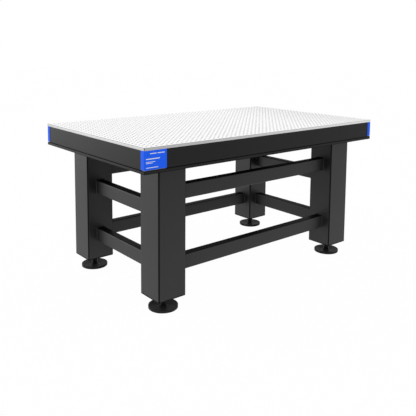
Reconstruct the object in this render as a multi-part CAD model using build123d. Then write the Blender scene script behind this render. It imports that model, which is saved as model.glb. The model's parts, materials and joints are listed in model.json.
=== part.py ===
from build123d import *
import os

# Optical table: a honeycomb breadboard top on a welded steel frame with four levelling feet.
# Millimetres. The origin is on the floor under the middle of the top.
# X runs along the long side, Y along the short side and Z up. The front is -Y.

# Overall sizes
TABLE_LENGTH = 1500.0
TABLE_WIDTH = 900.0
TABLE_HEIGHT = 750.0

# Breadboard top
TOP_SKIN_THICKNESS = 12.0
BOTTOM_SKIN_THICKNESS = 14.0
CORE_HEIGHT = 82.0
SKIN_CORNER_RADIUS = 5.0
SKIN_EDGE_RADIUS = 3.0

# Mounting holes in the top skin. The grid starts one edge margin in from each side.
HOLE_PITCH = 25.0
HOLE_DIAMETER = 6.0
HOLE_CUP_DIAMETER = 9.0
HOLE_CUP_DEPTH = 20.0
# Each rectangle of four stated holes is this many pitches long and wide.
STATED_RECTANGLES = ((58, 34), (30, 18), (4, 4))

# Sides of the top
TRIM_INSET = 0.5
TRIM_WALL = 4.0
TRIM_CORNER_RADIUS = 5.0
TRIM_SHORT_LEG = 26.0
TRIM_LABEL_LEG = 108.0
TRIM_RISE = 4.0
PANEL_WALL = 2.5

# Legs
LEG_SIZE = 144.0
LEG_WALL = 6.0
LEG_CORNER_RADIUS = 8.0
LEG_INSET_X = 113.0
LEG_INSET_Y = 65.0
LEG_CLEARANCE_TO_FLOOR = 60.0
LEG_TOP_PLATE_THICKNESS = 10.0
LEG_FOOT_PLATE_THICKNESS = 16.0
PLATE_FIT = 0.3

# Beams between the legs, all on the middle of the leg faces. Each drop is from the underside of the top.
BEAM_WIDTH = 44.0
BEAM_DEPTH = 68.0
BEAM_WALL = 5.0
BEAM_CORNER_RADIUS = 5.0
LONG_UPPER_BEAM_DROP = 97.0
SHORT_UPPER_BEAM_DROP = 173.0
LOWER_BEAM_TOP = 222.0

# Levelling feet
STEM_DIAMETER = 30.0
STEM_CLEARANCE = 0.3
STEM_REACH_IN_LEG = 60.0
STEM_TIP_CHAMFER = 2.0
NUT_ACROSS_FLATS = 46.0
NUT_HEIGHT = 15.0
NUT_CHAMFER = 1.5
PAD_RADIUS = 66.0
PAD_RIM_HEIGHT = 9.0
PAD_RIM_CHAMFER = 1.5
PAD_DISH_DROP = 1.0
PAD_RIM_WIDTH = 5.0
PAD_SOCKET_FLOOR = 3.0

# Levels worked out from the sizes above
TOP_SKIN_BOTTOM = TABLE_HEIGHT - TOP_SKIN_THICKNESS
BOTTOM_SKIN_TOP = TOP_SKIN_BOTTOM - CORE_HEIGHT
TABLE_UNDERSIDE = BOTTOM_SKIN_TOP - BOTTOM_SKIN_THICKNESS
PANEL_INNER_INSET = TRIM_INSET + TRIM_WALL
LONG_UPPER_BEAM_TOP = TABLE_UNDERSIDE - LONG_UPPER_BEAM_DROP
SHORT_UPPER_BEAM_TOP = TABLE_UNDERSIDE - SHORT_UPPER_BEAM_DROP
LEG_CENTRE_X = TABLE_LENGTH / 2 - LEG_INSET_X - LEG_SIZE / 2
LEG_CENTRE_Y = TABLE_WIDTH / 2 - LEG_INSET_Y - LEG_SIZE / 2

CORNERS = {
    "front_left": (-1, -1),
    "front_right": (1, -1),
    "back_left": (-1, 1),
    "back_right": (1, 1),
}


def stated_hole_positions():
    """Centres of the stated mounting holes, all on the hole grid."""
    for pitches_x, pitches_y in STATED_RECTANGLES:
        for side_x in (-1, 1):
            for side_y in (-1, 1):
                yield side_x * pitches_x * HOLE_PITCH / 2, side_y * pitches_y * HOLE_PITCH / 2


def skin_plate(thickness, bottom):
    """A face plate of the top, with rounded corners."""
    outline = RectangleRounded(TABLE_LENGTH, TABLE_WIDTH, SKIN_CORNER_RADIUS)
    return Pos(0, 0, bottom) * extrude(outline, thickness)


def top_skin():
    """Upper face plate: rounded upper edge and the stated mounting holes."""
    plate = skin_plate(TOP_SKIN_THICKNESS, TOP_SKIN_BOTTOM)
    plate = fillet(plate.faces().sort_by(Axis.Z)[-1].edges(), SKIN_EDGE_RADIUS)
    holes = Sketch() + [Pos(x, y) * Circle(HOLE_DIAMETER / 2) for x, y in stated_hole_positions()]
    return plate - Pos(0, 0, TOP_SKIN_BOTTOM) * extrude(holes, TOP_SKIN_THICKNESS)


def bottom_skin():
    """Lower face plate, with its lower edge rounded."""
    plate = skin_plate(BOTTOM_SKIN_THICKNESS, TABLE_UNDERSIDE)
    return fillet(plate.faces().sort_by(Axis.Z)[0].edges(), SKIN_EDGE_RADIUS)


def honeycomb_core():
    """Core block between the face plates, with a closed cup under each stated hole."""
    inset = 2 * PANEL_INNER_INSET
    block = extrude(Rectangle(TABLE_LENGTH - inset, TABLE_WIDTH - inset), CORE_HEIGHT)
    cups = Sketch() + [Pos(x, y) * Circle(HOLE_CUP_DIAMETER / 2) for x, y in stated_hole_positions()]
    block -= Pos(0, 0, CORE_HEIGHT - HOLE_CUP_DEPTH) * extrude(cups, HOLE_CUP_DEPTH)
    return Pos(0, 0, BOTTOM_SKIN_TOP) * block


def trim_legs(corner):
    """Lengths of a corner trim along X and along Y: one corner carries the name plate."""
    if corner == "front_left":
        return TRIM_LABEL_LEG, TRIM_SHORT_LEG
    return TRIM_SHORT_LEG, TRIM_SHORT_LEG


def corner_trim(corner):
    """L-shaped trim that wraps one corner of the top, a little above the lip of the lower plate."""
    side_x, side_y = CORNERS[corner]
    leg_x, leg_y = trim_legs(corner)
    corner_x = TABLE_LENGTH / 2 - TRIM_INSET
    corner_y = TABLE_WIDTH / 2 - TRIM_INSET
    outer = RectangleRounded(2 * corner_x, 2 * corner_y, TRIM_CORNER_RADIUS)
    inner = Rectangle(2 * (corner_x - TRIM_WALL), 2 * (corner_y - TRIM_WALL))
    window = Pos(side_x * (corner_x - leg_x / 2), side_y * (corner_y - leg_y / 2)) * Rectangle(leg_x, leg_y)
    angle = extrude((outer - inner) & window, CORE_HEIGHT - TRIM_RISE)
    return Pos(0, 0, BOTTOM_SKIN_TOP + TRIM_RISE) * angle


def long_panel(side_y):
    """Side panel along X, between the trims of the front or of the back."""
    left_name = "front_left" if side_y < 0 else "back_left"
    right_name = "front_right" if side_y < 0 else "back_right"
    start = -TABLE_LENGTH / 2 + TRIM_INSET + trim_legs(left_name)[0]
    end = TABLE_LENGTH / 2 - TRIM_INSET - trim_legs(right_name)[0]
    middle_y = side_y * (TABLE_WIDTH / 2 - PANEL_INNER_INSET + PANEL_WALL / 2)
    sheet = Box(end - start, PANEL_WALL, CORE_HEIGHT)
    return Pos((start + end) / 2, middle_y, BOTTOM_SKIN_TOP + CORE_HEIGHT / 2) * sheet


def short_panel(side_x):
    """Side panel along Y, between the trims of the left or of the right end."""
    reach = TABLE_WIDTH - 2 * (TRIM_INSET + TRIM_SHORT_LEG)
    middle_x = side_x * (TABLE_LENGTH / 2 - PANEL_INNER_INSET + PANEL_WALL / 2)
    sheet = Box(PANEL_WALL, reach, CORE_HEIGHT)
    return Pos(middle_x, 0, BOTTOM_SKIN_TOP + CORE_HEIGHT / 2) * sheet


def rounded_tube(width, depth, wall, corner_radius, length):
    """Rectangular hollow section with rounded corners, along +Z from the origin."""
    outer = RectangleRounded(width, depth, corner_radius)
    inner = Rectangle(width - 2 * wall, depth - 2 * wall)
    if corner_radius > wall:
        inner = RectangleRounded(width - 2 * wall, depth - 2 * wall, corner_radius - wall)
    return extrude(outer - inner, length)


def leg_place(corner):
    """Location on the floor under the middle of a leg."""
    side_x, side_y = CORNERS[corner]
    return Pos(side_x * LEG_CENTRE_X, side_y * LEG_CENTRE_Y, 0)


def leg_column(corner):
    """Square hollow leg from its foot plate to the underside of the top."""
    height = TABLE_UNDERSIDE - LEG_CLEARANCE_TO_FLOOR
    tube = rounded_tube(LEG_SIZE, LEG_SIZE, LEG_WALL, LEG_CORNER_RADIUS, height)
    return leg_place(corner) * Pos(0, 0, LEG_CLEARANCE_TO_FLOOR) * tube


def leg_plate_outline():
    """Plate that fits inside the leg with a small gap all round."""
    side = LEG_SIZE - 2 * (LEG_WALL + PLATE_FIT)
    return RectangleRounded(side, side, LEG_CORNER_RADIUS - LEG_WALL + PLATE_FIT)


def leg_top_plate(corner):
    """Plate let into the upper end of a leg, flush under the top."""
    plate = extrude(leg_plate_outline(), LEG_TOP_PLATE_THICKNESS)
    return leg_place(corner) * Pos(0, 0, TABLE_UNDERSIDE - LEG_TOP_PLATE_THICKNESS) * plate


def leg_foot_plate(corner):
    """Plate let into the lower end of a leg, bored for the levelling screw."""
    bore = Circle(STEM_DIAMETER / 2 + STEM_CLEARANCE)
    plate = extrude(leg_plate_outline() - bore, LEG_FOOT_PLATE_THICKNESS)
    return leg_place(corner) * Pos(0, 0, LEG_CLEARANCE_TO_FLOOR) * plate


def beam_section(length):
    """Hollow beam of the given length along +Z, its depth along Y."""
    return rounded_tube(BEAM_WIDTH, BEAM_DEPTH, BEAM_WALL, BEAM_CORNER_RADIUS, length)


def long_beam(side_y, top):
    """Beam along X between the two legs of the front or of the back."""
    length = 2 * LEG_CENTRE_X - LEG_SIZE
    section = Rot(0, 90, 0) * Rot(0, 0, 90) * beam_section(length)
    return Pos(-length / 2, side_y * LEG_CENTRE_Y, top - BEAM_DEPTH / 2) * section


def short_beam(side_x, top):
    """Beam along Y between the two legs of the left or of the right end."""
    length = 2 * LEG_CENTRE_Y - LEG_SIZE
    section = Rot(-90, 0, 0) * beam_section(length)
    return Pos(side_x * LEG_CENTRE_X, -length / 2, top - BEAM_DEPTH / 2) * section


def lock_nut(corner):
    """Hexagonal nut on the foot plate inside the leg, around the levelling screw, chamfered above."""
    blank = extrude(RegularPolygon(NUT_ACROSS_FLATS / 2, 6, major_radius=False), NUT_HEIGHT)
    cone_radius = NUT_ACROSS_FLATS / 2 + NUT_CHAMFER
    turned = Cylinder(cone_radius, NUT_HEIGHT)
    turned = chamfer(turned.edges().sort_by(Axis.Z)[-1], NUT_CHAMFER)
    nut = blank & (Pos(0, 0, NUT_HEIGHT / 2) * turned)
    nut -= extrude(Circle(STEM_DIAMETER / 2 + STEM_CLEARANCE), NUT_HEIGHT)
    return leg_place(corner) * Pos(0, 0, LEG_CLEARANCE_TO_FLOOR + LEG_FOOT_PLATE_THICKNESS) * nut


def foot_stem(corner):
    """Levelling screw from the socket of its pad up into the leg."""
    top = LEG_CLEARANCE_TO_FLOOR + STEM_REACH_IN_LEG
    stem = extrude(Circle(STEM_DIAMETER / 2), top - PAD_SOCKET_FLOOR)
    stem = chamfer(stem.edges().sort_by(Axis.Z)[-1], STEM_TIP_CHAMFER)
    return leg_place(corner) * Pos(0, 0, PAD_SOCKET_FLOOR) * stem


def foot_pad(corner):
    """Round pad: raised rim, flat plate and a socket for the screw."""
    rim_inner = PAD_RADIUS - PAD_RIM_WIDTH
    dish = PAD_RIM_HEIGHT - PAD_DISH_DROP
    socket = STEM_DIAMETER / 2 + STEM_CLEARANCE
    outline = Polyline(
        (0, 0),
        (PAD_RADIUS, 0),
        (PAD_RADIUS, PAD_RIM_HEIGHT - PAD_RIM_CHAMFER),
        (PAD_RADIUS - PAD_RIM_CHAMFER, PAD_RIM_HEIGHT),
        (rim_inner, PAD_RIM_HEIGHT),
        (rim_inner, dish),
        (socket, dish),
        (socket, PAD_SOCKET_FLOOR),
        (0, PAD_SOCKET_FLOOR),
        (0, 0),
    )
    profile = Plane.XZ * make_face(outline)
    pad = revolve(profile, Axis.Z)
    return leg_place(corner) * pad


def build():
    """All sub-parts by node name."""
    nodes = {
        "top_skin": top_skin(),
        "bottom_skin": bottom_skin(),
        "honeycomb_core": honeycomb_core(),
        "front_panel": long_panel(-1),
        "back_panel": long_panel(1),
        "left_panel": short_panel(-1),
        "right_panel": short_panel(1),
    }
    for level, long_top, short_top in (
        ("upper", LONG_UPPER_BEAM_TOP, SHORT_UPPER_BEAM_TOP),
        ("lower", LOWER_BEAM_TOP, LOWER_BEAM_TOP),
    ):
        nodes[f"front_{level}_beam"] = long_beam(-1, long_top)
        nodes[f"back_{level}_beam"] = long_beam(1, long_top)
        nodes[f"left_{level}_beam"] = short_beam(-1, short_top)
        nodes[f"right_{level}_beam"] = short_beam(1, short_top)
    makers = {
        "corner_trim": corner_trim,
        "leg_column": leg_column,
        "leg_top_plate": leg_top_plate,
        "leg_foot_plate": leg_foot_plate,
        "lock_nut": lock_nut,
        "foot_stem": foot_stem,
        "foot_pad": foot_pad,
    }
    for corner in CORNERS:
        for name, maker in makers.items():
            nodes[f"{name}_{corner}"] = maker(corner)
    return nodes


os.makedirs("parts", exist_ok=True)
for node_name, shape in build().items():
    export_step(shape, f"parts/{node_name}.step")
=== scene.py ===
"""Looks of the optical table: drilled face plate, frame, name plate, levelling feet and studio."""

import json
import logging
import math
from dataclasses import dataclass, field
from enum import Enum
from typing import Callable, Iterator

import bmesh
import bpy
from mathutils import Euler, Matrix, Vector

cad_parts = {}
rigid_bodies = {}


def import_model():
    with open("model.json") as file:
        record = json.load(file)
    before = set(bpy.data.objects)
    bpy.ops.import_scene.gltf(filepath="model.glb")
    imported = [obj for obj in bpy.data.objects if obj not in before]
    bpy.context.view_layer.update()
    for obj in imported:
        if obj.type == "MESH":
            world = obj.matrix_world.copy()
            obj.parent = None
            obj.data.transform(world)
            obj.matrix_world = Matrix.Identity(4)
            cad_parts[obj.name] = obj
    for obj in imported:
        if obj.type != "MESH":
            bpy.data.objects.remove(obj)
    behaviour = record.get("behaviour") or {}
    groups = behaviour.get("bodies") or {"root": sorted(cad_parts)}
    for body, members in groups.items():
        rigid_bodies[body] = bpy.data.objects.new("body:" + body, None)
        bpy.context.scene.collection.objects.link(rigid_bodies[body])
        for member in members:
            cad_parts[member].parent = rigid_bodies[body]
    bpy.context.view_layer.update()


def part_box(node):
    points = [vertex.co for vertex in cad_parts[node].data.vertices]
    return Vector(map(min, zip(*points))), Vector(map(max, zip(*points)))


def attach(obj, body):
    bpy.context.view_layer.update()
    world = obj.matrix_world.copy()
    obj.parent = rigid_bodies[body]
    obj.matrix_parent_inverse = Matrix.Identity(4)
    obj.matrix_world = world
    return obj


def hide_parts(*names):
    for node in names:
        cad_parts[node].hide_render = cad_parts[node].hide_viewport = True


log = logging.getLogger("optical_table")

MM = 0.001
TABLE_BODY = "table"
TABLE_TOP = 750 * MM

Colour = tuple[float, float, float]
Point = tuple[float, float, float]
Inputs = dict[int | str, object]


class Corner(Enum):
    """The four corners of the table."""

    FRONT_LEFT = "front_left"
    FRONT_RIGHT = "front_right"
    BACK_LEFT = "back_left"
    BACK_RIGHT = "back_right"

    @property
    def label(self) -> str:
        """Name of the corner as the nodes have it."""
        return self.value


class Slot(Enum):
    """Material slots of the record."""

    SKIN = "skin_steel"
    CORE = "core_steel"
    PANEL = "side_panel"
    TRIM = "blue_trim"
    FRAME = "frame_paint"
    SCREW = "foot_steel"
    PAD = "foot_pad"


# Shader building


class Wire:
    """A number socket in a node tree that takes part in Python arithmetic."""

    def __init__(self, sheet: "NodeSheet", socket: bpy.types.NodeSocket) -> None:
        """Wraps a socket.

        Args:
            sheet: The tree that new Math nodes go into.
            socket: The output that holds the value.
        """
        self.sheet = sheet
        self.socket = socket

    def maths(self, operation: str, first: "Wire | float", second: "Wire | float" = 0.0) -> "Wire":
        """Adds a Math node.

        Args:
            operation: The node's operation.
            first: Left operand.
            second: Right operand.

        Returns:
            The node's value.
        """
        node = self.sheet.add("ShaderNodeMath", {"operation": operation}, {0: first, 1: second})
        return Wire(self.sheet, node.outputs[0])

    def __add__(self, other: "Wire | float") -> "Wire":
        """Sum."""
        return self.maths("ADD", self, other)

    def __sub__(self, other: "Wire | float") -> "Wire":
        """Difference."""
        return self.maths("SUBTRACT", self, other)

    def __rsub__(self, other: float) -> "Wire":
        """Difference from a number on the left."""
        return self.maths("SUBTRACT", other, self)

    def __mul__(self, other: "Wire | float") -> "Wire":
        """Product."""
        return self.maths("MULTIPLY", self, other)

    def over(self, limit: float, softness: float) -> "Wire":
        """Smooth step from 0 to 1.

        Args:
            limit: Value in the middle of the step.
            softness: Width of the step.

        Returns:
            The step as a value from 0 to 1.
        """
        settings = {"interpolation_type": "SMOOTHSTEP"}
        inputs = {0: self, 1: limit - softness / 2, 2: limit + softness / 2}
        return Wire(self.sheet, self.sheet.add("ShaderNodeMapRange", settings, inputs).outputs[0])


class NodeSheet:
    """A node tree that is filled from Python."""

    def __init__(self, tree: bpy.types.NodeTree) -> None:
        """Clears a tree for new nodes.

        Args:
            tree: The material's or the world's node tree.
        """
        self.tree = tree
        self.tree.nodes.clear()

    def add(
        self,
        kind: str,
        settings: dict[str, object] | None = None,
        inputs: Inputs | None = None,
    ) -> bpy.types.Node:
        """Adds a node, sets it and joins its inputs.

        Args:
            kind: Type name of the node.
            settings: Properties of the node, set first.
            inputs: Value, socket or Wire for each input, by name or number.

        Returns:
            The new node.
        """
        node = self.tree.nodes.new(kind)
        for name, value in (settings or {}).items():
            setattr(node, name, value)
        for key, value in (inputs or {}).items():
            if isinstance(value, Wire):
                self.tree.links.new(value.socket, node.inputs[key])
            elif isinstance(value, bpy.types.NodeSocket):
                self.tree.links.new(value, node.inputs[key])
            else:
                node.inputs[key].default_value = value
        return node

    def place(self, scale: Point = (1.0, 1.0, 1.0)) -> bpy.types.NodeSocket:
        """Object coordinates, stretched.

        Args:
            scale: Factor on each axis.

        Returns:
            The vector socket.
        """
        source = self.add("ShaderNodeTexCoord").outputs["Object"]
        if scale == (1.0, 1.0, 1.0):
            return source
        return self.add("ShaderNodeMapping", None, {"Vector": source, "Scale": scale}).outputs[0]

    def axes(self) -> tuple[Wire, Wire, Wire]:
        """Object coordinates as three numbers.

        Returns:
            X, Y and Z.
        """
        split = self.add("ShaderNodeSeparateXYZ", None, {0: self.place()})
        return tuple(Wire(self, socket) for socket in split.outputs)

    def noise(
        self, place: bpy.types.NodeSocket, scale: float, detail: float = 2.0, rough: float = 0.5
    ) -> Wire:
        """Noise value.

        Args:
            place: Coordinates.
            scale: Noise scale.
            detail: Octaves.
            rough: Weight of the finer octaves.

        Returns:
            The noise from 0 to 1.
        """
        inputs = {"Vector": place, "Scale": scale, "Detail": detail, "Roughness": rough}
        return Wire(self, self.add("ShaderNodeTexNoise", None, inputs).outputs["Fac"])

    def blend(
        self,
        factor: Wire,
        first: "Colour | bpy.types.NodeSocket",
        second: "Colour | bpy.types.NodeSocket",
    ) -> bpy.types.NodeSocket:
        """Mix of two colours.

        Args:
            factor: Share of the second colour.
            first: Colour at 0.
            second: Colour at 1.

        Returns:
            The colour socket.
        """
        ends = [end if isinstance(end, bpy.types.NodeSocket) else (*end, 1.0) for end in (first, second)]
        inputs = {0: factor, 6: ends[0], 7: ends[1]}
        return self.add("ShaderNodeMix", {"data_type": "RGBA"}, inputs).outputs[2]

    def bump(self, height: Wire, distance: float, strength: float) -> bpy.types.NodeSocket:
        """Bumped normal.

        Args:
            height: Height from 0 to 1.
            distance: Height of 1 in metres.
            strength: Strength of the effect.

        Returns:
            The normal socket.
        """
        inputs = {"Height": height, "Distance": distance, "Strength": strength}
        return self.add("ShaderNodeBump", None, inputs).outputs[0]

    def surface(self, inputs: Inputs) -> None:
        """Ends the tree in a principled surface.

        Args:
            inputs: Values and links of its sockets.
        """
        shader = self.add("ShaderNodeBsdfPrincipled", None, inputs)
        self.add("ShaderNodeOutputMaterial", None, {"Surface": shader.outputs[0]})

    def mixed_surface(self, factor: Wire, first: Inputs, second: Inputs) -> None:
        """Ends the tree in a mix of two principled surfaces.

        Args:
            factor: Share of the second surface.
            first: Values and links of the first surface's sockets.
            second: Values and links of the second surface's sockets.
        """
        coats = [
            self.add("ShaderNodeBsdfPrincipled", None, inputs).outputs[0] for inputs in (first, second)
        ]
        mix = self.add("ShaderNodeMixShader", None, {0: factor, 1: coats[0], 2: coats[1]})
        self.add("ShaderNodeOutputMaterial", None, {"Surface": mix.outputs[0]})


def shade(colour: Colour, factor: float) -> Colour:
    """A colour made lighter or darker.

    Args:
        colour: The colour.
        factor: Factor on each channel.

    Returns:
        The new colour.
    """
    return tuple(channel * factor for channel in colour)


def new_material(name: str) -> tuple[bpy.types.Material, NodeSheet]:
    """Adds a material with an empty node tree.

    Args:
        name: Name of the material.

    Returns:
        The material and the sheet of its tree.
    """
    material = bpy.data.materials.new(name)
    material.use_nodes = True
    return material, NodeSheet(material.node_tree)


# Finishes


@dataclass(frozen=True)
class FrameLines:
    """Painted dark reflections down the corners of the legs, and painted shade along the feet of the legs
    and on the tops of the beams.
    """

    leg_centre: tuple[float, float] = (565 * MM, 313 * MM)
    corner_start: float = 67.4 * MM
    corner_share: float = 0.9
    leg_reach: float = 73 * MM
    hem_top: float = 65 * MM
    hem_share: float = 0.75
    beam_tops: tuple[float, ...] = (545 * MM, 469 * MM, 222 * MM)
    top_below: float = 1.4 * MM
    top_above: float = 0.6 * MM
    top_share: float = 0.78
    softness: float = 0.8 * MM

    def mask(self, sheet: NodeSheet) -> Wire:
        """Where the painted reflections and painted shade lie.

        Args:
            sheet: The tree of the finish.

        Returns:
            Nearly 1 on the lines and tops, 0 elsewhere.
        """
        *sides, height = sheet.axes()
        from_x, from_y = (
            side.maths("ABSOLUTE", side.maths("ABSOLUTE", side) - centre)
            for side, centre in zip(sides, self.leg_centre)
        )
        # Painted reflection: dark lines down the rounded corners of the legs, where they would mirror dark
        # surroundings.
        corner_x, corner_y = (side.over(self.corner_start, self.softness) for side in (from_x, from_y))
        clear = height.maths(
            "MAXIMUM", *(side.over(self.leg_reach, self.softness) for side in (from_x, from_y))
        )
        # Painted shade: a dark band along the feet of the legs, below the hem line.
        hem = 1.0 - height.over(self.hem_top, self.softness)
        painted_line = height.maths("MAXIMUM", corner_x * corner_y * self.corner_share, hem * self.hem_share)
        mask = painted_line * (1.0 - clear)
        # Painted shade on the tops of the beams, which the table top shades from above.
        for level in self.beam_tops:
            above = height.over(level + self.top_above, self.softness)
            top = height.over(level - self.top_below, self.softness) * (1.0 - above)
            mask = mask.maths("MAXIMUM", mask, top * clear * self.top_share)
        return mask


@dataclass(frozen=True)
class LipLines:
    """Painted shade: dark lines along the lip under the side panels, below its lower edge and in the gap
    above it.
    """

    lower_line: float = 644.5 * MM
    seam: tuple[float, float] = (655 * MM, 658.5 * MM)
    share: float = 0.85
    softness: float = 1.0 * MM

    def mask(self, sheet: NodeSheet) -> Wire:
        """Where the painted shade lies.

        Args:
            sheet: The tree of the finish.

        Returns:
            Nearly 1 on the lines, 0 elsewhere.
        """
        height = sheet.axes()[2]
        # Painted shade: dark under the lip's lower edge and in the gap between panel and lip.
        below = 1.0 - height.over(self.lower_line, self.softness)
        over_low, over_high = (height.over(level, self.softness) for level in self.seam)
        return (below + over_low * (1.0 - over_high)) * self.share


@dataclass(frozen=True)
class PowderCoat:
    """Fine-textured powder coat with a slow change of gloss, faint handling marks, dark matt lines of
    painted shade and reflection, and a colour that can grow lighter towards the floor as painted bounce
    light.
    """

    name: str
    colour: Colour
    lines: FrameLines | LipLines
    roughness: float = 0.42
    specular: float = 0.3
    spread: float = 0.3
    grain_size: float = 1.1 * MM
    grain_height: float = 0.05 * MM
    grain_strength: float = 0.4
    mark_stretch: Point = (5.0, 5.0, 60.0)
    mark_limit: float = 0.62
    line_tone: float = 0.003
    line_roughness: float = 0.6
    # Colour factors low and high on the piece; a lighter colour low down stands for painted bounce light
    # from the floor.
    tones: tuple[float, float] = (1.0, 1.0)
    tone_level: float = 350 * MM
    tone_fade: float = 700 * MM

    def make(self) -> bpy.types.Material:
        """Builds the material."""
        material, sheet = new_material(self.name)
        place = sheet.place()
        grain = sheet.noise(place, 1.0 / self.grain_size, 2.0, 0.6)
        cloud = sheet.noise(place, 3.0, 3.0)
        marks = sheet.noise(sheet.place(self.mark_stretch), 2.0, 4.0, 0.65).over(self.mark_limit, 0.12)
        mottle = cloud * 0.5 + grain * 0.5
        low, high = (
            sheet.blend(
                mottle,
                shade(self.colour, (1.0 - self.spread) * tone),
                shade(self.colour, (1.0 + self.spread) * tone),
            )
            for tone in self.tones
        )
        # The coat's colour fades between the two tones with height: painted bounce light where the lower
        # tone is lighter.
        coat = {
            "Base Color": sheet.blend(sheet.axes()[2].over(self.tone_level, self.tone_fade), low, high),
            "Roughness": cloud * 0.12 + grain * 0.06 + marks * 0.05 + (self.roughness - 0.1),
            "Specular IOR Level": self.specular,
            "Normal": sheet.bump(grain, self.grain_height, self.grain_strength),
        }
        # Near-black matte surface for the painted shade and painted reflections of the lines' mask.
        painted_line = {
            "Base Color": (self.line_tone, self.line_tone, self.line_tone, 1.0),
            "Roughness": self.line_roughness,
            "Specular IOR Level": 0.0,
        }
        sheet.mixed_surface(self.lines.mask(sheet), coat, painted_line)
        return material


@dataclass(frozen=True)
class GroundSteel:
    """Stainless face plate, ground along its length, with a dull, rougher edge and threaded holes; painted
    shade darkens the holes, the side and end faces and the right end.
    """

    name: str
    colour: Colour
    roughness: float = 0.3
    hole_tone: float = 0.015
    hole_edge: float = 0.2 * MM
    face_tones: tuple[float, float] = (0.97, 1.0)
    side_tones: tuple[float, float] = (0.46, 0.72)
    end_tone: float = 0.33
    right_tone: float = 0.84
    right_middle: float = 500 * MM
    right_width: float = 600 * MM
    thread_pitch: float = 1.0 * MM
    edge_x: float = 749.2 * MM
    edge_y: float = 449.2 * MM
    edge_softness: float = 0.6 * MM
    grinding: Point = (14.0, 900.0, 900.0)
    line_relief: float = 0.12
    relief_height: float = 0.12 * MM
    relief_strength: float = 0.5

    def make(self) -> bpy.types.Material:
        """Builds the material."""
        material, sheet = new_material(self.name)
        lines = sheet.noise(sheet.place(self.grinding), 1.0, 3.0, 0.7)
        cloud = sheet.noise(sheet.place(), 5.0, 3.0)
        speck = sheet.noise(sheet.place(), 260.0, 2.0)
        across, along, height = sheet.axes()
        turns = height.maths("SINE", height * (2.0 * math.pi / self.thread_pitch))
        end = across.maths("ABSOLUTE", across).over(self.edge_x, self.edge_softness)
        side = along.maths("ABSOLUTE", along).over(self.edge_y, self.edge_softness)
        outside = end.maths("MAXIMUM", end, side)
        # Inside the holes the walls are rougher, less metallic and threaded, and their near-black colour
        # is painted shade.
        hole = (TABLE_TOP - height).over(self.hole_edge, self.hole_edge) * (1.0 - outside)
        tone = lines * 0.55 + cloud * 0.3 + speck * 0.15
        face = sheet.blend(tone, *(shade(self.colour, level) for level in self.face_tones))
        # Painted shade: the face of the plate darkens towards the right end.
        right = across.over(self.right_middle, self.right_width)
        right_shaded = sheet.blend(right, face, shade(self.colour, self.right_tone))
        # Painted shade: the front and back faces of the plate are darker, lightening towards the right,
        # and the end faces darker still.
        shift = across.over(0.0, 2.0 * self.edge_x)
        rim = sheet.blend(shift, *(shade(self.colour, level) for level in self.side_tones))
        sided = sheet.blend(side, right_shaded, rim)
        edged = sheet.blend(end, sided, shade(self.colour, self.end_tone))
        relief = lines * (1.0 - hole) * self.line_relief + turns * hole
        gloss = lines * 0.1 + cloud * 0.08 + hole * 0.4 + outside * 0.15
        sheet.surface(
            {
                "Base Color": sheet.blend(hole, edged, (self.hole_tone,) * 3),
                "Metallic": 1.0 - hole * 0.8,
                "Roughness": gloss + (self.roughness - 0.09),
                "Normal": sheet.bump(relief, self.relief_height, self.relief_strength),
            }
        )
        return material


@dataclass(frozen=True)
class SatinPaint:
    """Smooth satin paint with a faint flow texture and painted shade on the table's end faces."""

    name: str
    colour: Colour
    roughness: float = 0.35
    specular: float = 0.4
    metallic: float = 0.0
    spread: float = 0.07
    end_tone: float = 0.85
    end_x: float = 749.2 * MM
    end_softness: float = 0.4 * MM
    flow_height: float = 0.05 * MM
    flow_strength: float = 0.25

    def make(self) -> bpy.types.Material:
        """Builds the material."""
        material, sheet = new_material(self.name)
        place = sheet.place()
        flow = sheet.noise(place, 140.0, 2.0)
        cloud = sheet.noise(place, 9.0, 3.0)
        across = sheet.axes()[0]
        # Painted shade: the end faces of the table take a darker colour than the front.
        end = across.maths("ABSOLUTE", across).over(self.end_x, self.end_softness)
        paint = sheet.blend(
            cloud, shade(self.colour, 1.0 - self.spread), shade(self.colour, 1.0 + self.spread)
        )
        sheet.surface(
            {
                "Base Color": sheet.blend(end, paint, shade(self.colour, self.end_tone)),
                "Metallic": self.metallic,
                "Roughness": cloud * 0.1 + flow * 0.05 + (self.roughness - 0.08),
                "Specular IOR Level": self.specular,
                "Normal": sheet.bump(flow, self.flow_height, self.flow_strength),
            }
        )
        return material


@dataclass(frozen=True)
class TurnedSteel:
    """Blackened turned steel: fine rings round the axis of a foot and dull patches."""

    name: str
    colour: Colour
    roughness: float = 0.38
    metallic: float = 0.6
    specular: float = 0.4
    tones: tuple[float, float] = (0.7, 1.35)
    ring_stretch: Point = (1.0, 1.0, 420.0)
    ring_height: float = 0.03 * MM
    ring_strength: float = 0.4

    def make(self) -> bpy.types.Material:
        """Builds the material."""
        material, sheet = new_material(self.name)
        fine = sheet.noise(sheet.place(), 700.0, 3.0, 0.6)
        bands = sheet.noise(sheet.place(self.ring_stretch), 3.0, 3.0, 0.6)
        cloud = sheet.noise(sheet.place(), 24.0, 3.0)
        mottle = fine * 0.3 + cloud * 0.45 + bands * 0.25
        sheet.surface(
            {
                "Base Color": sheet.blend(mottle, *(shade(self.colour, tone) for tone in self.tones)),
                "Metallic": self.metallic,
                "Roughness": cloud * 0.2 + fine * 0.08 + (self.roughness - 0.12),
                "Specular IOR Level": self.specular,
                "Normal": sheet.bump(fine * 0.5 + bands * 0.5, self.ring_height, self.ring_strength),
            }
        )
        return material


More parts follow.
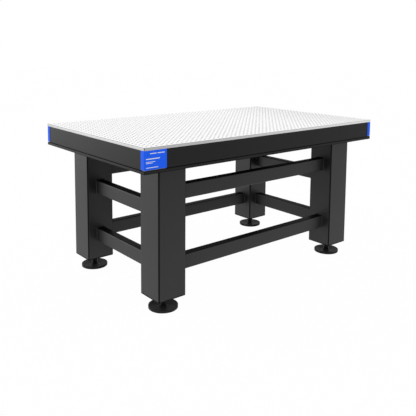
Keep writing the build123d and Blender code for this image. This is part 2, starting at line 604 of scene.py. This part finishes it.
@dataclass
class FinishShelf:
    """All materials of the table, by record slot."""

    finishes: dict[Slot, object] = field(
        default_factory=lambda: {
            Slot.SKIN: GroundSteel("ground_steel", (0.995, 0.995, 0.995)),
            Slot.CORE: SatinPaint("core_foil", (0.2, 0.2, 0.21), 0.5, 0.5, 0.8),
            Slot.PANEL: PowderCoat("panel_coating", (0.0155, 0.0155, 0.0157), LipLines(), 0.4, 0.09),
            Slot.TRIM: SatinPaint("trim_blue", (0.014, 0.127, 0.96), 0.45, 0.08),
            # On the frame, the tones make the colour lighter towards the floor: painted bounce light.
            Slot.FRAME: PowderCoat(
                "frame_powder_coat", (0.014, 0.014, 0.0145), FrameLines(), tones=(1.45, 0.75)
            ),
            Slot.SCREW: TurnedSteel("screw_black_oxide", (0.02, 0.02, 0.021)),
            Slot.PAD: TurnedSteel("pad_black", (0.022, 0.022, 0.0222), 0.5, 0.0, 0.075),
        }
    )
    made: dict[Slot, bpy.types.Material] = field(default_factory=dict)

    def material(self, slot: Slot) -> bpy.types.Material:
        """The material of a slot, built when it is first asked for.

        Args:
            slot: The record's slot.

        Returns:
            The material.
        """
        if slot not in self.made:
            self.made[slot] = self.finishes[slot].make()
        return self.made[slot]

    def dress_node(self, node: str, slot: Slot) -> None:
        """Gives a CAD node its finish.

        Args:
            node: Name of the node.
            slot: The slot of its finish.
        """
        thing = bpy.data.objects[node]
        if not thing.material_slots:
            thing.data.materials.append(self.material(slot))
        for holder in thing.material_slots:
            holder.material = self.material(slot)

    def dress_piece(self, piece: bpy.types.Object, slot: Slot, body: str, *replaced: str) -> None:
        """Gives a new piece its finish and body.

        Args:
            piece: The piece.
            slot: The slot of its finish.
            body: The body that carries it.
            replaced: The CAD nodes that it stands for.
        """
        piece.data.materials.clear()
        piece.data.materials.append(self.material(slot))
        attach(piece, body)
        if replaced:
            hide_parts(*replaced)
        log.info("%s: %d faces, rides on %s", piece.name, len(piece.data.polygons), body)


# Modelling


def clear_selection() -> None:
    """Leaves edit mode and deselects every object."""
    if bpy.context.object and bpy.context.object.mode != "OBJECT":
        bpy.ops.object.mode_set(mode="OBJECT")
    for thing in bpy.context.scene.objects:
        thing.select_set(False)


def take(name: str) -> bpy.types.Object:
    """Names the object that was just added and bakes its place into its mesh.

    Args:
        name: The piece's name.

    Returns:
        The object.
    """
    piece = bpy.context.object
    piece.name = piece.data.name = name
    bpy.ops.object.transform_apply(location=True, rotation=True, scale=True)
    return piece


def activate(piece: bpy.types.Object) -> None:
    """Makes one object the selected and active one.

    Args:
        piece: The object.
    """
    clear_selection()
    piece.select_set(True)
    bpy.context.view_layer.objects.active = piece


def edit(piece: bpy.types.Object, mode: str = "EDGE") -> None:
    """Opens a piece in edit mode.

    Args:
        piece: The piece.
        mode: VERT, EDGE or FACE.
    """
    activate(piece)
    bpy.ops.object.mode_set(mode="EDIT")
    bpy.ops.mesh.select_mode(type=mode)


def close_edit() -> None:
    """Goes back to object mode."""
    bpy.ops.object.mode_set(mode="OBJECT")


def pick_edges(piece: bpy.types.Object, test: Callable[[bmesh.types.BMEdge], bool]) -> int:
    """Selects edges alone.

    Args:
        piece: The piece in edit mode.
        test: True for an edge that is wanted.

    Returns:
        How many were selected.
    """
    mesh = bmesh.from_edit_mesh(piece.data)
    bpy.ops.mesh.select_mode(type="EDGE")
    for part in (*mesh.faces, *mesh.edges, *mesh.verts):
        part.select = False
    found = [edge for edge in mesh.edges if test(edge)]
    for edge in found:
        edge.select_set(True)
    bmesh.update_edit_mesh(piece.data)
    return len(found)


def pick_faces(piece: bpy.types.Object, test: Callable[[bmesh.types.BMFace], bool]) -> int:
    """Selects faces alone.

    Args:
        piece: The piece in edit mode.
        test: True for a face that is wanted.

    Returns:
        How many were selected.
    """
    mesh = bmesh.from_edit_mesh(piece.data)
    bpy.ops.mesh.select_mode(type="FACE")
    for part in (*mesh.faces, *mesh.edges, *mesh.verts):
        part.select = False
    found = [face for face in mesh.faces if test(face)]
    for face in found:
        face.select_set(True)
    bmesh.update_edit_mesh(piece.data)
    return len(found)


def near(first: float, second: float, gap: float = 1e-5) -> bool:
    """True where two lengths agree."""
    return abs(first - second) < gap


def runs_along(edge: bmesh.types.BMEdge, axis: int) -> bool:
    """True for an edge that is parallel to an axis, given by its number."""
    first, second = (vert.co for vert in edge.verts)
    return all(near(first[other], second[other]) for other in range(3) if other != axis)


def level_edge(edge: bmesh.types.BMEdge, level: float) -> bool:
    """True for an edge that lies at a level."""
    return all(near(vert.co.z, level) for vert in edge.verts)


def finish_mesh(piece: bpy.types.Object, smooth_angle: float = 35.0, merge_gap: float = 2e-6) -> None:
    """Merges doubles, turns the normals outwards and smooths the shading.

    Args:
        piece: The piece.
        smooth_angle: Largest angle in degrees that is shaded smooth.
        merge_gap: Vertices closer than this become one.
    """
    edit(piece, "VERT")
    bpy.ops.mesh.select_all(action="SELECT")
    bpy.ops.mesh.remove_doubles(threshold=merge_gap)
    bpy.ops.mesh.select_all(action="SELECT")
    bpy.ops.mesh.normals_make_consistent(inside=False)
    close_edit()
    bpy.ops.object.shade_smooth_by_angle(angle=math.radians(smooth_angle))


def apply_modifier(piece: bpy.types.Object, kind: str, **settings: object) -> None:
    """Adds a modifier and applies it.

    Args:
        piece: The piece.
        kind: Type of the modifier.
        settings: Its properties.
    """
    activate(piece)
    modifier = piece.modifiers.new(kind.title(), kind)
    for name, value in settings.items():
        setattr(modifier, name, value)
    bpy.ops.object.modifier_apply(modifier=modifier.name)


def join(first: bpy.types.Object, *others: bpy.types.Object) -> bpy.types.Object:
    """Joins objects into the first one.

    Args:
        first: The object that stays.
        others: The objects that go into it.

    Returns:
        The first object.
    """
    activate(first)
    for other in others:
        other.select_set(True)
    bpy.ops.object.join()
    return first


def copy_of(piece: bpy.types.Object, name: str, shift: Vector) -> bpy.types.Object:
    """A copy with its own mesh, moved to its place.

    Args:
        piece: The piece to copy.
        name: Name of the copy.
        shift: How far the copy's mesh moves.

    Returns:
        The copy.
    """
    twin = piece.copy()
    twin.data = piece.data.copy()
    twin.name = twin.data.name = name
    bpy.context.scene.collection.objects.link(twin)
    twin.data.transform(Matrix.Translation(shift))
    return twin


def draw_profile(name: str, points: list[Point]) -> bpy.types.Object:
    """An open line of edges through points, extruded from a single vertex.

    Args:
        name: Name of the object.
        points: The points in order.

    Returns:
        The object, with its last point selected.
    """
    clear_selection()
    bpy.ops.mesh.primitive_plane_add(size=0.001, location=points[0])
    piece = take(name)
    edit(piece, "VERT")
    bpy.ops.mesh.select_all(action="SELECT")
    bpy.ops.mesh.merge(type="CENTER")
    for start, end in zip(points, points[1:]):
        step = tuple(b - a for a, b in zip(start, end))
        bpy.ops.mesh.extrude_region_move(TRANSFORM_OT_translate={"value": step})
    return piece


def turn_profile(piece: bpy.types.Object, centre: Point, steps: int) -> None:
    """Turns a profile in edit mode all the way round an upright axis.

    Args:
        piece: The profile.
        centre: A point on the axis.
        steps: Steps in a full turn.
    """
    edit(piece, "VERT")
    bpy.ops.mesh.select_all(action="SELECT")
    bpy.ops.mesh.spin(steps=steps, angle=2 * math.pi, center=centre, axis=(0.0, 0.0, 1.0))
    close_edit()


# Sub-assemblies


@dataclass
class DrilledFacePlate:
    """The face plate with its whole grid of countersunk holes, in place of the plain CAD skin."""

    length: float = 1500 * MM
    width: float = 900 * MM
    thickness: float = 12 * MM
    pitch: float = 25 * MM
    columns: int = 59
    rows: int = 35
    hole_radius: float = 3.0 * MM
    mouth_radius: float = 5.1 * MM
    mouth_depth: float = 1.8 * MM
    hole_sides: int = 12
    corner_radius: float = 5 * MM
    rim_radius: float = 3 * MM
    merge_gap: float = 1e-5
    top: float = TABLE_TOP

    @property
    def bottom(self) -> float:
        """Level of the underside."""
        return self.top - self.thickness

    def first_hole(self) -> tuple[float, float]:
        """Centre of the hole at the front left corner."""
        return -(self.columns - 1) * self.pitch / 2, -(self.rows - 1) * self.pitch / 2

    def cell(self) -> bpy.types.Object:
        """One square of the plate round one hole.

        Returns:
            The cell at the front left corner.
        """
        x, y = self.first_hole()
        clear_selection()
        bpy.ops.mesh.primitive_plane_add(size=self.pitch, location=(x, y, self.top))
        piece = take("hole_cell")
        edit(piece)
        bpy.ops.mesh.select_all(action="SELECT")
        bpy.ops.mesh.delete(type="ONLY_FACE")
        bpy.ops.mesh.select_all(action="SELECT")
        bpy.ops.mesh.duplicate_move(TRANSFORM_OT_translate={"value": (0, 0, -self.thickness)})
        bpy.ops.mesh.primitive_circle_add(
            vertices=self.hole_sides, radius=self.mouth_radius, location=(x, y, self.top)
        )
        centre = (x, y, self.top)
        squeeze = self.hole_radius / self.mouth_radius
        bpy.ops.mesh.extrude_edges_move(TRANSFORM_OT_translate={"value": (0, 0, -self.mouth_depth)})
        bpy.ops.transform.resize(value=(squeeze, squeeze, 1.0), center_override=centre)
        down = self.mouth_depth - self.thickness
        bpy.ops.mesh.extrude_edges_move(TRANSFORM_OT_translate={"value": (0, 0, down)})
        for level in (self.top, self.bottom):
            pick_edges(piece, lambda edge: level_edge(edge, level))
            bpy.ops.mesh.fill(use_beauty=True)
        close_edit()
        return piece

    def grid(self) -> bpy.types.Object:
        """The cells of all holes, joined."""
        piece = self.cell()
        for count, step in ((self.columns, (self.pitch, 0.0, 0.0)), (self.rows, (0.0, self.pitch, 0.0))):
            apply_modifier(
                piece,
                "ARRAY",
                count=count,
                use_relative_offset=False,
                use_constant_offset=True,
                constant_offset_displace=step,
                use_merge_vertices=True,
                merge_threshold=self.merge_gap,
            )
        return piece

    def rim(self) -> bpy.types.Object:
        """The outside of the plate: rounded corners, rounded upper edge, open above and below."""
        clear_selection()
        middle = (0.0, 0.0, self.top - self.thickness / 2)
        bpy.ops.mesh.primitive_cube_add(
            size=1.0, location=middle, scale=(self.length, self.width, self.thickness)
        )
        piece = take("plate_rim")
        edit(piece)
        pick_edges(piece, lambda edge: runs_along(edge, 2))
        bpy.ops.mesh.bevel(offset=self.corner_radius, segments=5)
        pick_edges(piece, lambda edge: level_edge(edge, self.top))
        bpy.ops.mesh.bevel(offset=self.rim_radius, segments=4)
        pick_faces(piece, lambda face: abs(face.normal.z) > 0.999)
        bpy.ops.mesh.delete(type="ONLY_FACE")
        close_edit()
        return piece

    def build(self, shelf: FinishShelf) -> None:
        """Builds and dresses the plate.

        Args:
            shelf: The finishes.
        """
        piece = join(self.rim(), self.grid())
        piece.name = piece.data.name = "drilled_face_plate"
        edit(piece)
        for level in (self.top, self.bottom):
            pick_edges(piece, lambda edge: edge.is_boundary and level_edge(edge, level))
            bpy.ops.mesh.fill(use_beauty=True)
        close_edit()
        finish_mesh(piece)
        shelf.dress_piece(piece, Slot.SKIN, TABLE_BODY, "top_skin")


@dataclass
class PrintedRule:
    """One plain printed bar on the name plate, by its distance from the table's corner."""

    start: float
    end: float
    height: float
    level: float


@dataclass
class NamePlatePrint:
    """Plain bars where the name plate of the front left trim carries print."""

    left_end: float = -749.5 * MM
    face: float = -449.5 * MM
    print_height: float = 0.12 * MM
    rules: list[PrintedRule] = field(
        default_factory=lambda: [
            PrintedRule(27 * MM, 58 * MM, 3.2 * MM, 725 * MM),
            PrintedRule(63 * MM, 97 * MM, 3.2 * MM, 725 * MM),
            PrintedRule(8 * MM, 74 * MM, 3.6 * MM, 704 * MM),
            PrintedRule(8 * MM, 52 * MM, 2.2 * MM, 692 * MM),
            PrintedRule(8 * MM, 40 * MM, 2.2 * MM, 687 * MM),
            PrintedRule(8 * MM, 66 * MM, 2.6 * MM, 669 * MM),
        ]
    )

    def bar(self, rule: PrintedRule, number: int) -> bpy.types.Object:
        """One bar with rounded ends.

        Args:
            rule: Its place and size.
            number: Its number.

        Returns:
            The bar.
        """
        clear_selection()
        length = rule.end - rule.start
        middle = (self.left_end + (rule.start + rule.end) / 2, self.face, rule.level)
        bpy.ops.mesh.primitive_cube_add(
            size=1.0, location=middle, scale=(length, 2 * self.print_height, rule.height)
        )
        piece = take(f"print_bar_{number}")
        edit(piece)
        pick_edges(piece, lambda edge: runs_along(edge, 1))
        bpy.ops.mesh.bevel(offset=rule.height * 0.45, segments=3)
        close_edit()
        return piece

    def build(self, shelf: FinishShelf) -> None:
        """Builds and dresses the print.

        Args:
            shelf: The finishes; not used.
        """
        bars = [self.bar(rule, number) for number, rule in enumerate(self.rules)]
        piece = join(bars[0], *bars[1:])
        piece.name = piece.data.name = "name_plate_print"
        finish_mesh(piece)
        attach(piece, TABLE_BODY)
        piece.data.materials.clear()
        piece.data.materials.append(SatinPaint("print_white", (0.8, 0.83, 0.9), 0.5).make())
        log.info("%s: %d bars", piece.name, len(bars))


@dataclass
class WeldBead:
    """Fillet weld round a beam end where it meets the leg."""

    width: float = 44 * MM
    depth: float = 68 * MM
    corner_radius: float = 5 * MM
    leg: float = 2.5 * MM
    bulge: float = 0.03

    def ring(self) -> bpy.types.Object:
        """The bead round a beam that runs along +Z from the origin, its depth along Y."""
        clear_selection()
        bpy.ops.mesh.primitive_plane_add(size=1.0)
        piece = bpy.context.object
        piece.scale = (self.width, self.depth, 1.0)
        piece = take("weld_ring")
        edit(piece, "VERT")
        bpy.ops.mesh.select_all(action="SELECT")
        bpy.ops.mesh.bevel(offset=self.corner_radius, segments=4, affect="VERTICES")
        bpy.ops.mesh.select_all(action="SELECT")
        bpy.ops.mesh.delete(type="ONLY_FACE")
        bpy.ops.mesh.select_mode(type="EDGE")
        bpy.ops.mesh.select_all(action="SELECT")
        bpy.ops.mesh.extrude_edges_move(TRANSFORM_OT_translate={"value": (0, 0, self.leg)})
        pick_edges(piece, lambda edge: level_edge(edge, 0.0))
        bpy.ops.mesh.extrude_edges_move(TRANSFORM_OT_translate={"value": (0, 0, 0)})
        grow = (1 + 2 * self.leg / self.width, 1 + 2 * self.leg / self.depth, 1.0)
        bpy.ops.transform.resize(value=grow, center_override=(0.0, 0.0, 0.0))
        pick_edges(piece, lambda edge: edge.is_boundary)
        bpy.ops.mesh.bridge_edge_loops(number_cuts=3, profile_shape_factor=self.bulge, smoothness=0.0)
        close_edit()
        return piece


@dataclass
class BeamWelds:
    """Weld beads at both ends of all eight beams."""

    bead: WeldBead = field(default_factory=WeldBead)
    beams: tuple[str, ...] = tuple(
        f"{side}_{level}_beam"
        for side in ("front", "back", "left", "right")
        for level in ("upper", "lower")
    )

    def ends(self, beam: str) -> Iterator[Matrix]:
        """Where the beads of a beam go.

        Args:
            beam: Name of the beam's node.

        Yields:
            The matrix that takes the ring to each end.
        """
        low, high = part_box(beam)
        middle = (low + high) / 2
        along_x = high.x - low.x > high.y - low.y
        quarter = math.pi / 2
        for side in (-1, 1):
            if along_x:
                place = Vector((low.x if side < 0 else high.x, middle.y, middle.z))
                turn = Matrix.Rotation(-side * quarter, 4, "Y") @ Matrix.Rotation(quarter, 4, "Z")
            else:
                place = Vector((middle.x, low.y if side < 0 else high.y, middle.z))
                turn = Matrix.Rotation(side * quarter, 4, "X")
            yield Matrix.Translation(place) @ turn

    def build(self, shelf: FinishShelf) -> None:
        """Builds and dresses the beads, one piece a beam.

        Args:
            shelf: The finishes.
        """
        ring = self.bead.ring()
        for beam in self.beams:
            rings = []
            for number, matrix in enumerate(self.ends(beam)):
                twin = copy_of(ring, f"{beam}_bead_{number}", Vector((0.0, 0.0, 0.0)))
                twin.data.transform(matrix)
                rings.append(twin)
            piece = join(*rings)
            piece.name = piece.data.name = beam.replace("_beam", "_welds")
            finish_mesh(piece, 50.0)
            shelf.dress_piece(piece, Slot.FRAME, TABLE_BODY)
        bpy.data.objects.remove(ring)


@dataclass
class LevellingFoot:
    """A threaded levelling screw and its round pad, in place of the plain CAD ones."""

    screw_radius: float = 15 * MM
    thread_depth: float = 1.3 * MM
    thread_pitch: float = 3 * MM
    screw_bottom: float = 3 * MM
    screw_top: float = 120 * MM
    thread_steps: int = 28
    tooth: tuple[tuple[float, float], ...] = (
        (0.0, 0.0), (0.06, 0.0), (0.44, 1.0), (0.56, 1.0), (0.94, 0.0), (1.0, 0.0)
    )
    pad_radius: float = 66 * MM
    rim_height: float = 12 * MM
    rim_width: float = 5 * MM
    dish_drop: float = 1 * MM
    socket_radius: float = 15.3 * MM
    pad_steps: int = 96
    edge_bevel: float = 0.7 * MM

    @staticmethod
    def floor_point(corner: Corner) -> Vector:
        """The point on the floor under a foot's axis."""
        low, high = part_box(f"foot_pad_{corner.label}")
        return Vector(((low.x + high.x) / 2, (low.y + high.y) / 2, 0.0))

    def screw(self, centre: Vector) -> bpy.types.Object:
        """The threaded screw.

        Args:
            centre: The point on the floor under the screw.

        Returns:
            The screw's mesh.
        """
        pitch = self.thread_pitch
        start = self.screw_bottom - 2 * pitch
        root = self.screw_radius - self.thread_depth
        points = [
            (root + rise * self.thread_depth, 0.0, start + share * pitch) for share, rise in self.tooth
        ]
        piece = draw_profile("levelling_screw", points)
        close_edit()
        turns = math.ceil((self.screw_top - start) / pitch) + 1
        apply_modifier(
            piece,
            "SCREW",
            axis="Z",
            screw_offset=pitch,
            iterations=turns,
            steps=self.thread_steps,
            render_steps=self.thread_steps,
            use_merge_vertices=True,
            merge_threshold=1e-6,
        )
        edit(piece)
        for level, keep_above in ((self.screw_bottom, True), (self.screw_top, False)):
            bpy.ops.mesh.select_all(action="SELECT")
            bpy.ops.mesh.bisect(
                plane_co=(0.0, 0.0, level),
                plane_no=(0.0, 0.0, 1.0),
                use_fill=True,
                clear_inner=keep_above,
                clear_outer=not keep_above,
            )
        close_edit()
        finish_mesh(piece, 28.0)
        piece.data.transform(Matrix.Translation(centre))
        return piece

    def pad(self, centre: Vector) -> bpy.types.Object:
        """The round pad with its raised rim, flat plate and socket.

        Args:
            centre: The point on the floor under the pad.

        Returns:
            The pad's mesh.
        """
        inner_rim = self.pad_radius - self.rim_width
        outline = [
            (0.0, 0.0),
            (self.pad_radius, 0.0),
            (self.pad_radius, self.rim_height),
            (inner_rim, self.rim_height),
            (inner_rim - self.dish_drop, self.rim_height - self.dish_drop),
            (self.socket_radius, self.rim_height - self.dish_drop),
            (self.socket_radius, self.screw_bottom),
            (0.0, self.screw_bottom),
        ]
        piece = draw_profile("levelling_pad", [(radius, 0.0, level) for radius, level in outline])
        turn_profile(piece, (0.0, 0.0, 0.0), self.pad_steps)
        edit(piece, "VERT")
        bpy.ops.mesh.select_all(action="SELECT")
        bpy.ops.mesh.remove_doubles(threshold=1e-5)
        close_edit()
        apply_modifier(
            piece,
            "BEVEL",
            width=self.edge_bevel,
            segments=2,
            limit_method="ANGLE",
            angle_limit=math.radians(25.0),
        )
        finish_mesh(piece, 32.0)
        piece.data.transform(Matrix.Translation(centre))
        return piece

    def build(self, shelf: FinishShelf) -> None:
        """Builds and dresses the four feet.

        Args:
            shelf: The finishes.
        """
        home = self.floor_point(Corner.FRONT_LEFT)
        masters = (
            ("foot_stem", "levelling_screw", Slot.SCREW, self.screw(home)),
            ("foot_pad", "levelling_pad", Slot.PAD, self.pad(home)),
        )
        for corner in Corner:
            shift = self.floor_point(corner) - home
            for node, name, slot, master in masters:
                piece = copy_of(master, f"{name}_{corner.label}", shift)
                shelf.dress_piece(piece, slot, f"foot_{corner.label}", f"{node}_{corner.label}")
        for *_, master in masters:
            bpy.data.objects.remove(master)


@dataclass
class CarriedOver:
    """CAD nodes that keep their shape and get their finish here."""

    plain: dict[str, Slot] = field(
        default_factory=lambda: {
            "bottom_skin": Slot.PANEL,
            "honeycomb_core": Slot.CORE,
            "front_panel": Slot.PANEL,
            "back_panel": Slot.PANEL,
            "left_panel": Slot.PANEL,
            "right_panel": Slot.PANEL,
        }
    )
    repeated: dict[str, Slot] = field(
        default_factory=lambda: {
            "corner_trim": Slot.TRIM,
            "leg_column": Slot.FRAME,
            "leg_top_plate": Slot.FRAME,
            "leg_foot_plate": Slot.FRAME,
            "lock_nut": Slot.SCREW,
        }
    )

    def dress(self, shelf: FinishShelf) -> None:
        """Gives each node its finish.

        Args:
            shelf: The finishes.
        """
        for node, slot in self.plain.items():
            shelf.dress_node(node, slot)
        for beam in BeamWelds.beams:
            shelf.dress_node(beam, Slot.FRAME)
        for stem, slot in self.repeated.items():
            for corner in Corner:
                shelf.dress_node(f"{stem}_{corner.label}", slot)


# Studio


@dataclass
class Softbox:
    """A large soft lamp that the camera doesn't see."""

    name: str
    place: Point
    target: Point
    width: float
    height: float
    radiance: float

    def build(self) -> None:
        """Adds the lamp."""
        data = bpy.data.lights.new(self.name, "AREA")
        data.shape = "RECTANGLE"
        data.size = self.width
        data.size_y = self.height
        data.energy = self.radiance * math.pi * self.width * self.height
        lamp = bpy.data.objects.new(self.name, data)
        bpy.context.scene.collection.objects.link(lamp)
        lamp.location = self.place
        aim = Vector(self.target) - Vector(self.place)
        lamp.rotation_euler = aim.to_track_quat("-Z", "Y").to_euler()
        lamp.visible_camera = False


def direct_rays(sheet: NodeSheet) -> Wire:
    """Which rays see white: those of the camera, of reflections and through clear things.

    Args:
        sheet: The tree of a material or of the world.

    Returns:
        1 for such a ray, 0 for the rest.
    """
    path = sheet.add("ShaderNodeLightPath")
    names = ("Is Camera Ray", "Is Glossy Ray", "Is Transmission Ray")
    seen, mirrored, through = (Wire(sheet, path.outputs[name]) for name in names)
    return seen.maths("MINIMUM", seen + mirrored + through, 1.0)


@dataclass
class Studio:
    """Pale floor, white surroundings, soft lamps and the camera."""

    floor_size: float = 60.0
    floor_colour: Colour = (0.93, 0.93, 0.93)
    floor_clearness: float = 0.985
    diffuse_level: float = 0.8
    lamps: list[Softbox] = field(
        default_factory=lambda: [
            Softbox("back_left_softbox", (-3.6, 3.2, 1.3), (0.0, 0.0, 0.5), 4.0, 2.6, 2.5),
        ]
    )
    card_place: Point = (-2.25, -2.75, 0.62)
    card_size: tuple[float, float] = (4.6, 1.24)
    card_colour: Colour = (0.01, 0.01, 0.01)
    camera_place: Point = (-1.9393, -2.2740, 1.1378)
    camera_yaw: float = 0.6930
    camera_pitch: float = 0.1097
    camera_roll: float = 0.0078
    focal_pixels: float = 564.08
    frame_pixels: float = 416.0
    centre_pixel: tuple[float, float] = (208.33, 110.04)
    sensor_width: float = 36.0
    clip_end: float = 200.0

    def floor(self) -> None:
        """Adds the floor: matte to light, nearly clear to the camera, so that lowered feet show."""
        clear_selection()
        bpy.ops.mesh.primitive_plane_add(size=self.floor_size)
        piece = take("studio_floor")
        material, sheet = new_material("floor_white")
        factor = direct_rays(sheet) * self.floor_clearness
        matte = sheet.add("ShaderNodeBsdfDiffuse", None, {"Color": (*self.floor_colour, 1.0)})
        clear = sheet.add("ShaderNodeBsdfTransparent")
        mix = sheet.add("ShaderNodeMixShader", None, {0: factor, 1: matte.outputs[0], 2: clear.outputs[0]})
        sheet.add("ShaderNodeOutputMaterial", None, {"Surface": mix.outputs[0]})
        piece.data.materials.append(material)

    def card(self) -> None:
        """Adds a black card behind the camera, which only reflections see."""
        clear_selection()
        turn = Euler((math.pi / 2, 0.0, -self.camera_yaw))
        bpy.ops.mesh.primitive_plane_add(size=1.0, location=self.card_place, rotation=turn)
        bpy.context.object.scale = (*self.card_size, 1.0)
        piece = take("black_card")
        material, sheet = new_material("card_black")
        matte = sheet.add("ShaderNodeBsdfDiffuse", None, {"Color": (*self.card_colour, 1.0)})
        sheet.add("ShaderNodeOutputMaterial", None, {"Surface": matte.outputs[0]})
        piece.data.materials.append(material)
        piece.visible_camera = piece.visible_diffuse = piece.visible_shadow = False

    def surroundings(self) -> None:
        """Sets the world: white to the camera and in reflections, softer as a light."""
        world = bpy.data.worlds.new("studio_world")
        bpy.context.scene.world = world
        world.use_nodes = True
        sheet = NodeSheet(world.node_tree)
        strength = direct_rays(sheet) * (1.0 - self.diffuse_level) + self.diffuse_level
        glow = sheet.add("ShaderNodeBackground", None, {"Strength": strength})
        glow.inputs["Color"].default_value = (1.0, 1.0, 1.0, 1.0)
        sheet.add("ShaderNodeOutputWorld", None, {"Surface": glow.outputs[0]})

    def camera(self) -> None:
        """Adds the camera at the photograph's angle."""
        data = bpy.data.cameras.new("studio_camera")
        camera = bpy.data.objects.new("studio_camera", data)
        bpy.context.scene.collection.objects.link(camera)
        data.sensor_width = self.sensor_width
        data.lens = self.focal_pixels / self.frame_pixels * data.sensor_width
        half = self.frame_pixels / 2
        data.shift_x = (half - (self.centre_pixel[0] + 0.5)) / self.frame_pixels
        data.shift_y = ((self.centre_pixel[1] + 0.5) - half) / self.frame_pixels
        data.clip_end = self.clip_end
        sine, cosine = math.sin(self.camera_pitch), math.cos(self.camera_pitch)
        forward = Vector((math.sin(self.camera_yaw) * cosine, math.cos(self.camera_yaw) * cosine, -sine))
        right = Vector((math.cos(self.camera_yaw), -math.sin(self.camera_yaw), 0.0))
        up = right.cross(forward)
        rolled_right = right * math.cos(self.camera_roll) + up * math.sin(self.camera_roll)
        rolled_up = up * math.cos(self.camera_roll) - right * math.sin(self.camera_roll)
        turn = Matrix((rolled_right, rolled_up, -forward)).transposed()
        camera.matrix_world = Matrix.Translation(self.camera_place) @ turn.to_4x4()
        bpy.context.scene.camera = camera

    def build(self) -> None:
        """Builds the studio."""
        self.floor()
        self.card()
        self.surroundings()
        for lamp in self.lamps:
            lamp.build()
        self.camera()
        bpy.context.scene.view_settings.view_transform = "Standard"


def main() -> None:
    """Builds all pieces round the frame."""
    logging.basicConfig(level=logging.INFO, format="%(name)s %(message)s")
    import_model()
    shelf = FinishShelf()
    Studio().build()
    CarriedOver().dress(shelf)
    DrilledFacePlate().build(shelf)
    NamePlatePrint().build(shelf)
    BeamWelds().build(shelf)
    LevellingFoot().build(shelf)
    clear_selection()


if __name__ == "__main__":
    main()
